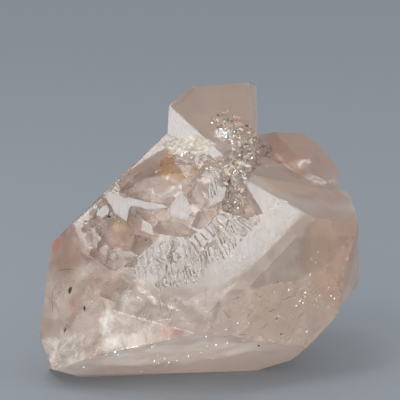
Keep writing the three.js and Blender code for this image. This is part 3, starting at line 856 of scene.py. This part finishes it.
# black specks of coal: an oval lump each, flatter from front to back
specks = {
    "colour": "#120f0d",
    "grain": 0.12,  # mm
    "gloss": (0.25, 0.6),
    "flatness": 0.8,  # depth over width
    "stray": 0.3,
    "spots": [  # across and down the frame, half-length mm, half-width mm, degrees, depth mm
        (70, 290.5, 0.62, 0.30, 80, 0.08), (84.5, 308.7, 0.46, 0.20, 95, 0.05),
        (65, 330, 0.40, 0.18, 70, 0.05), (109, 217, 0.34, 0.20, 10, 0.05),
        (131, 235.5, 0.14, 0.12, 0, 0.5), (135, 235.5, 0.14, 0.12, 0, 0.5),
        (139, 235.3, 0.16, 0.12, 0, 0.5), (146, 240, 0.20, 0.16, 0, 0.6), (167, 221, 0.30, 0.14, 5, 0.6),
        (156, 180, 0.22, 0.20, 60, 0.7), (190, 153, 0.18, 0.16, 0, 0.3), (229, 182, 0.46, 0.14, 75, 0.0),
        (129, 174, 0.16, 0.12, 40, 0.6), (258.4, 345, 0.38, 0.15, 110, 0.03),
        (278, 282, 0.14, 0.12, 0, 1.5), (273, 292, 0.15, 0.12, 60, 1.5), (254.5, 308, 0.12, 0.10, 0, 1.0),
        (251, 311, 0.10, 0.08, 0, 1.0), (276.5, 319, 0.28, 0.16, 0, 1.8), (290, 317, 0.18, 0.14, 0, 1.8),
        (281, 334, 0.26, 0.16, 10, 1.8), (238, 325, 0.10, 0.08, 0, 1.0), (235, 331, 0.10, 0.08, 0, 1.0),
        (219, 325, 0.12, 0.08, 0, 0.8), (213, 328, 0.10, 0.08, 0, 0.8), (251, 340, 0.12, 0.10, 0, 1.0),
        (247, 344.5, 0.12, 0.10, 0, 1.0), (192, 302, 0.18, 0.16, 30, 1.4),
        (190, 215, 0.16, 0.12, 20, 0.0), (247, 126, 0.32, 0.14, 150, 0.0),
        (218, 115, 0.26, 0.16, 120, 0.3), (263, 147, 0.34, 0.18, 170, 0.5),
        (204, 305, 0.10, 0.08, 0, 1.2), (74, 281, 0.16, 0.08, 0, 0.8), (127, 341, 0.12, 0.10, 0, 1.2),
        (99, 318, 0.10, 0.10, 0, 1.2), (212, 327, 0.10, 0.10, 0, 1.2), (60, 283, 0.12, 0.06, 60, 0.8),
    ],
}
# anthraxolite: coaly carbon sealed in the quartz, black with a dull gleam
anthraxolite = addLustre("anthraxolite", specks["colour"], 0.0, specks["grain"], specks["gloss"])
random = np.random.default_rng(7)
table = np.array(specks["spots"])
places, ways, _, _ = sightPlaces(table[:, :2], table[:, 5])
axes = axesFor(pictureWays(table[:, 4]), -ways, table[:, [2, 3, 3]] * (1, 1, specks["flatness"]))
lumps = strew(ball(5, 8), places, axes, specks["stray"], random)
addPiece("dark_specks", *lumps, anthraxolite, smooth=50)

# fluid films and air films: closed lens-shaped flakes in clouds, in sheets and one by one
flakes = {
    "filmColour": "#efe6dc",
    "filmGrain": 0.1,  # mm
    "filmGloss": (0.12, 0.35),
    "filmStray": 0.25,
    "airColour": "#f8f1ea",
    "airGrain": 0.15,
    "airGloss": (0.18, 0.42),
    "airStray": 0.3,
    "cloudLength": (0.05, 0.13),  # mm, least and most half-length of a flake in a cloud
    "cloudTilt": 0.45,  # how much it strays from the way that mirrors a lamp
    "sheetLength": (0.05, 0.12),
    "sheetTilt": 0.4,
    "cover": 0.2,  # mm of stone over a film's middle at least
    "clouds": [  # across and down the frame, depth mm, radius mm, how many
        (108, 323, 1.6, 1.3, 170), (104, 331, 2.0, 2.2, 150), (116, 353, 1.4, 1.2, 120),
        (118, 338, 2.2, 2.4, 130), (152, 348, 0.8, 0.9, 90), (90, 304, 1.0, 0.8, 60),
        (58, 301, 0.9, 0.7, 45), (206, 348, 0.5, 0.7, 30), (80, 372, 1.0, 1.3, 80),
        (58, 362, 1.2, 1.5, 110), (128, 297, 1.6, 1.4, 110), (140, 322, 2.4, 2.6, 110),
        (185, 300, 2.2, 2.8, 110), (62, 287, 1.4, 1.6, 80), (100, 300, 2.4, 2.8, 120),
        (75, 345, 1.8, 2.4, 120), (302, 303, 1.6, 1.6, 60), (316, 303, 1.4, 1.2, 40),
        (300, 332, 1.2, 1.8, 60), (250, 306, 1.2, 1.0, 30), (316, 262, 1.4, 1.2, 40),
        (304, 290, 1.8, 1.8, 50), (170, 180, 0.8, 0.9, 40), (156, 172, 0.8, 0.8, 30),
        (190, 187, 0.6, 1.2, 50), (320, 195, 1.0, 1.4, 40),
    ],
    "sheets": [  # across and down the frame, then mm of depth, half-length and half-width, degrees,
        # lean from across the ray to along it, and how many
        (80, 300, 3.0, 6.0, 2.2, 75, 0.5, 260), (63, 315, 2.0, 5.0, 1.2, 82, 0.9, 160),
        (150, 312, 3.0, 5.5, 1.4, 60, 0.6, 200), (168, 305, 2.5, 4.5, 1.0, 62, 0.8, 150),
        (120, 345, 2.5, 7.0, 1.6, 8, 0.7, 260), (265, 300, 4.0, 7.0, 1.8, -38, 0.8, 220),
        (310, 275, 3.0, 4.5, 1.8, -65, 0.6, 150), (295, 320, 2.0, 5.0, 1.2, 40, 0.7, 150),
        (330, 235, 3.0, 4.0, 1.4, 80, 0.6, 110), (150, 185, 2.0, 3.5, 1.2, 25, 0.6, 110),
        (100, 260, 3.0, 3.0, 1.6, -40, 0.5, 110), (225, 110, 2.0, 3.0, 1.0, 20, 0.6, 60),
        (290, 150, 2.5, 3.0, 1.2, -10, 0.6, 70),
    ],
    "bright": [  # across and down the frame, depth mm, half-length and half-width mm, degrees
        (225, 133, -0.4, 0.34, 0.221, 30), (229, 130, -0.4, 0.27, 0.17, 60),
        (234, 132, -0.3, 0.23, 0.128, 10), (221, 129, -0.3, 0.2, 0.128, 0),
        (212, 123, -0.1, 0.2, 0.119, 0), (236, 128, -0.3, 0.16, 0.093, 45),
        (226, 137, -0.3, 0.27, 0.093, 70), (247, 146, -0.2, 0.16, 0.093, 0),
        (258, 152, -0.2, 0.2, 0.093, 20), (266, 166, -0.05, 0.27, 0.068, 10),
        (238, 208, -0.2, 0.2, 0.128, 30), (235, 202, -0.2, 0.16, 0.093, 70),
        (240, 203, -0.2, 0.14, 0.068, 0), (246, 141, -0.2, 0.14, 0.076, 50),
        (232, 143, -0.3, 0.14, 0.076, 20), (252, 158, -0.2, 0.18, 0.076, 40),
        (228, 188, -0.1, 0.16, 0.068, 60), (242, 196, -0.1, 0.2, 0.068, 80),
        (107.5, 322, -0.015, 0.15, 0.084, 20), (111, 324, -0.015, 0.13, 0.07, 120),
        (108, 327, -0.015, 0.11, 0.042, 90), (115, 352, -0.015, 0.13, 0.06, 20),
        (118, 355, -0.015, 0.09, 0.04, 100), (120, 350, -0.015, 0.07, 0.04, 60),
        (152, 347, -0.015, 0.11, 0.05, 15), (155, 345, -0.015, 0.07, 0.04, 40),
        (58.5, 300, -0.015, 0.1, 0.056, 60), (89, 304, -0.015, 0.09, 0.07, 100),
        (92, 301, -0.015, 0.08, 0.049, 50), (307, 331.5, -0.015, 0.11, 0.077, 40),
        (315.5, 262.5, -0.015, 0.08, 0.049, 20), (251.5, 306, -0.015, 0.05, 0.042, 0),
        (303, 303, -0.015, 0.09, 0.049, 70), (305, 297, -0.015, 0.07, 0.042, 60),
        (331, 296, -0.015, 0.08, 0.042, 60), (343, 294, -0.015, 0.08, 0.042, 40),
        (322, 286, -0.015, 0.1, 0.035, 55), (208, 346, -0.015, 0.06, 0.04, 20),
        (201, 352, -0.015, 0.13, 0.035, 110), (78, 371, -0.015, 0.1, 0.042, 10),
        (141, 371, -0.015, 0.15, 0.035, 10), (63, 359, -0.015, 0.11, 0.042, 30),
        (122, 271, -0.015, 0.07, 0.049, 0), (244, 93, 0.5, 0.18, 0.076, 10),
        (167, 186, 0.4, 0.3, 0.08, 30), (156, 172, 0.4, 0.24, 0.08, 60), (172, 178, 0.3, 0.24, 0.1, 80),
        (186, 152, -0.1, 0.3, 0.08, 40), (182, 155, -0.1, 0.24, 0.08, 70),
        (238, 323, -0.015, 0.09, 0.056, 30), (300, 301, -0.015, 0.12, 0.042, 70),
        (305, 292.5, -0.015, 0.14, 0.042, 110), (314, 305, -0.015, 0.09, 0.042, 20),
        (322.5, 284, -0.015, 0.12, 0.035, 55), (341, 295, -0.015, 0.08, 0.042, 30),
        (310, 275, -0.015, 0.09, 0.035, 100), (290, 316, -0.015, 0.07, 0.035, 0),
        (296, 306, -0.015, 0.11, 0.035, 120), (300, 311, -0.015, 0.08, 0.035, 60),
        (216, 345, -0.015, 0.09, 0.042, 30), (306, 332, -0.015, 0.12, 0.084, 40),
    ],
    # tiny ones strewn anywhere in an area of the frame
    "glitter": {
        "area": [(56, 262), (70, 250), (110, 262), (150, 280), (205, 330), (262, 290), (318, 226),
                 (350, 240), (346, 285), (308, 332), (286, 350), (240, 364), (150, 370), (95, 372),
                 (55, 362), (48, 340)],
        "count": 190,
        "depth": -0.015,  # mm, so just over the skin
        "halfLength": (0.03, 0.095),
    },
    "chips": {"count": 160, "halfLength": (0.03, 0.12)},  # tiny bright breaks along the edges
}
# fluid film: a healed crack's layer of minute liquid bubbles, milky white and half mirror-like
fluidFilm = addLustre("fluid_film", flakes["filmColour"], 0.4, flakes["filmGrain"], flakes["filmGloss"])
# air film: an open crack full of air, which mirrors light like silver foil
airFilm = addLustre("air_film", flakes["airColour"], 0.8, flakes["airGrain"], flakes["airGloss"])


# the corners of a hexagon, and the numbers from 0 to 5 with the next one's after each
def sixSides():
    about = np.pi * np.arange(6) / 3
    return np.stack([np.cos(about), np.sin(about), 0 * about], 1), np.arange(6), (np.arange(6) + 1) % 6


# a flake: a flat lens of six sides, its two middles 0.1 of its radius apart
def lens():
    rim, k, after = sixSides()
    return np.vstack([rim, [(0, 0, 0.05), (0, 0, -0.05)]]), np.vstack([
        np.stack([k, after, 0 * k + 6], 1), np.stack([after, k, 0 * k + 7], 1)])


places, ups, sizes = [], [], []
table = np.array(flakes["clouds"])
middles, _, _, mirrors = sightPlaces(table[:, :2], table[:, 2])
for middle, mirror, radius, count in zip(middles, mirrors, table[:, 3], table[:, 4].astype(int)):
    places.append(middle + random.normal(0, 0.5, (count, 3)) * radius)
    ups.append(mirror + random.normal(0, flakes["cloudTilt"], (count, 3)))
    sizes.append(random.uniform(*flakes["cloudLength"], (count, 1)) * (1, 0.8, 1))
table = np.array(flakes["sheets"])
middles, ways, _, mirrors = sightPlaces(table[:, :2], table[:, 2])
for middle, way, mirror, (long, wide, degrees, lean, count) in zip(middles, ways, mirrors, table[:, 3:]):
    first = pictureWays(np.array([degrees]))[0]
    second = (1 - lean) * np.cross(way, first) + lean * way
    s, t = random.uniform(-1, 1, (2, int(count)))
    wavy = 0.35 * np.sin(2.6 * s + 1.3 * t)[:, None] * np.cross(first, second)
    spots = middle + (s * long)[:, None] * first + (t * wide)[:, None] * second + wavy
    spots = spots[scatter(spots, 1.4, 71) > 0.4]  # a healed crack is patchy
    places.append(spots)
    ups.append(mirror + random.normal(0, flakes["sheetTilt"], spots.shape))
    sizes.append(random.uniform(*flakes["sheetLength"], (len(spots), 1)) * (1, 0.7, 1))
places, ups, sizes = (np.vstack(rows) for rows in (places, ups, sizes))
inside = isSealed(places, flakes["cover"])
axes = axesFor(random.normal(0, 1, ups.shape), ups, sizes)
films = strew(lens(), places[inside], axes[inside], flakes["filmStray"], random)
addPiece("fluid_films", *films, fluidFilm)

table = np.array(flakes["bright"])
places, _, _, mirrors = sightPlaces(table[:, :2], table[:, 2])
axes = axesFor(pictureWays(table[:, 5]), mirrors, table[:, [3, 4, 4]])
glitter = flakes["glitter"]
spots = random.uniform((48, 225), (350, 372), (4 * glitter["count"], 2))  # the box round its area
spots = spots[inPolygon(*spots.T, glitter["area"], 1.0) > 0.5][:glitter["count"]]
more, _, _, mirrors = sightPlaces(spots, np.full(len(spots), glitter["depth"]))
size = random.uniform(*glitter["halfLength"], (len(spots), 1)) * (1, 0.6, 0.6)
mirrors = mirrors + random.normal(0, 0.08, mirrors.shape)
axes = np.vstack([axes, axesFor(random.normal(0, 1, mirrors.shape), mirrors, size)])
places = np.vstack([places, more])
# chips lie at corners of the edges that face the camera and mirror the lamp that such an edge sees
toEye, above, ahead = (unitRows(np.array(end) / mm - points) for end in (
    camera.location, *[studio["lamps"][name]["centre"] for name in ("overhead", "frontFill")]))
toLamp = np.where(((normals * above).sum(axis=1) > 0.1)[:, None], above, ahead)
onEdge = isCrease & ((normals * toEye).sum(axis=1) > 0.25) & ~inHollow & (inFan < 0.1) & (points[:, 2] > 1)
onEdge = random.choice(np.nonzero(onEdge)[0], flakes["chips"]["count"], replace=False)
mirrors = (toEye + toLamp)[onEdge] + random.normal(0, 0.12, (len(onEdge), 3))
size = random.uniform(*flakes["chips"]["halfLength"], (len(onEdge), 1)) * (1, 0.35, 0.35)
axes = np.vstack([axes, axesFor(random.normal(0, 1, mirrors.shape), mirrors, size)])
places = np.vstack([places, points[onEdge]])
addPiece("air_films", *strew(lens(), places, axes, flakes["airStray"], random), airFilm)

# open cracks seen edge on: thin stained flakes, end to end
cracks = {
    "colour": "#5d4a3c",
    "grain": 0.2,  # mm
    "gloss": (0.4, 0.8),
    "depth": 0.5,  # mm
    "halfWidth": 0.05,
    "overlap": 0.55,  # half-length of a flake over the length of its stretch
    "stray": 0.2,
    "runs": [  # spots across and down the frame that a crack runs through
        [(177, 297), (173, 307), (168, 320)], [(146, 300), (145, 309), (145, 317)],
        [(144, 336), (148, 340), (152, 344)], [(58, 271), (66, 269), (77, 270)],
        [(53, 288), (52, 300), (53, 313)], [(131, 331), (137, 332), (143, 336)],
        [(173, 360), (179, 361), (185, 363)], [(103, 300), (105, 312), (104, 326)],
        [(170, 300), (164, 308)], [(67, 322), (66, 330), (64, 337)], [(89, 285), (88, 292)],
        [(155, 322), (161, 312), (160, 303)], [(78, 352), (80, 344), (85, 339)], [(246, 318), (254, 311)],
        [(283, 300), (292, 296)], [(262, 330), (268, 322)], [(222, 310), (230, 318)],
        [(325, 275), (329, 265)], [(196, 296), (203, 296)], [(238, 338), (246, 333)],
        [(268, 312), (276, 309)], [(298, 318), (304, 312)], [(312, 296), (318, 290)],
        [(233, 300), (240, 297)], [(285, 342), (291, 337)], [(210, 312), (216, 307), (219, 301)],
    ],
}
# stained crack: a film of brown iron oxide in a crack, dull
stainedCrack = addLustre("stained_crack", cracks["colour"], 0.0, cracks["grain"], cracks["gloss"])
spots = np.vstack(cracks["runs"]).astype(float)
places, ways, _, _ = sightPlaces(spots, np.full(len(spots), cracks["depth"]))
isStart = np.ones(len(spots), bool)
isStart[np.cumsum([len(run) for run in cracks["runs"]]) - 1] = False
start = np.nonzero(isStart)[0]
span = places[start + 1] - places[start]
long = np.linalg.norm(span, axis=1) * cracks["overlap"]
wide = np.full(len(start), cracks["halfWidth"])
axes = axesFor(span, -ways[start], np.stack([long, wide, wide], 1))
middles = (places[start] + places[start + 1]) / 2
addPiece("stained_cracks", *strew(lens(), middles, axes, cracks["stray"], random), stainedCrack)

# small crystals of the crust
druse = {
    "area": [(215, 112), (248, 130), (263, 142), (277, 151), (264, 160), (250, 156), (247, 176),
             (241, 206), (226, 206), (221, 186), (225, 165), (231, 150), (220, 136)],  # across and down
    "tries": 420,
    "halfLength": (0.28, 0.75),  # mm
    "halfWidth": (0.12, 0.3),
    "tilt": 0.55,  # how much a point strays from square to the stone
    "stray": 0.06,
    "tint": "#f4eade",
    "haze": (0.04, 0.1),  # least and how much more
    "clear": (0.4, 0.5),
    "milk": 0.2,
}


# a quartz point: six sides from 0.6 below to 0.5 above its middle, drawn together to a tip at 1
def quartzPoint():
    ring, k, after = sixSides()
    corners = np.vstack([ring + (0, 0, -0.6), ring + (0, 0, 0.5), [(0, 0, 1), (0, 0, -0.8)]])
    faces = [(k, after, after + 6), (k, after + 6, k + 6)]
    faces += [(k + 6, after + 6, 0 * k + 12), (after, k, 0 * k + 13)]
    return corners, np.vstack([np.stack(face, 1) for face in faces])


spots = random.uniform((212, 110), (280, 208), (druse["tries"], 2))  # the box round its area
spots = spots[inPolygon(*spots.T, druse["area"], 2.0) > random.uniform(0.2, 0.9, len(spots))]
places, _, ups, _ = sightPlaces(spots, np.zeros(len(spots)))
ups = ups + random.normal(0, druse["tilt"], ups.shape)
long = random.uniform(*druse["halfLength"], len(spots))
wide = random.uniform(*druse["halfWidth"], len(spots))
axes = axesFor(random.normal(0, 1, ups.shape), ups, np.stack([wide, wide, long], 1))
crust = addPiece("crust_points", *strew(quartzPoint(), places, axes, druse["stray"], random), naturalQuartz)
chance = np.repeat(random.uniform(0, 1, len(spots)), len(crust.data.vertices) // len(spots))
looks = {name: druse[name][0] + druse[name][1] * chance for name in ("haze", "clear")}
looks.update({"frost": 0 * chance, "milk": druse["milk"] + 0 * chance})
addLooks(crust, looks, (1 - 0.5 * chance ** 3)[:, None] * rgb(druse["tint"]))

print("made every piece")
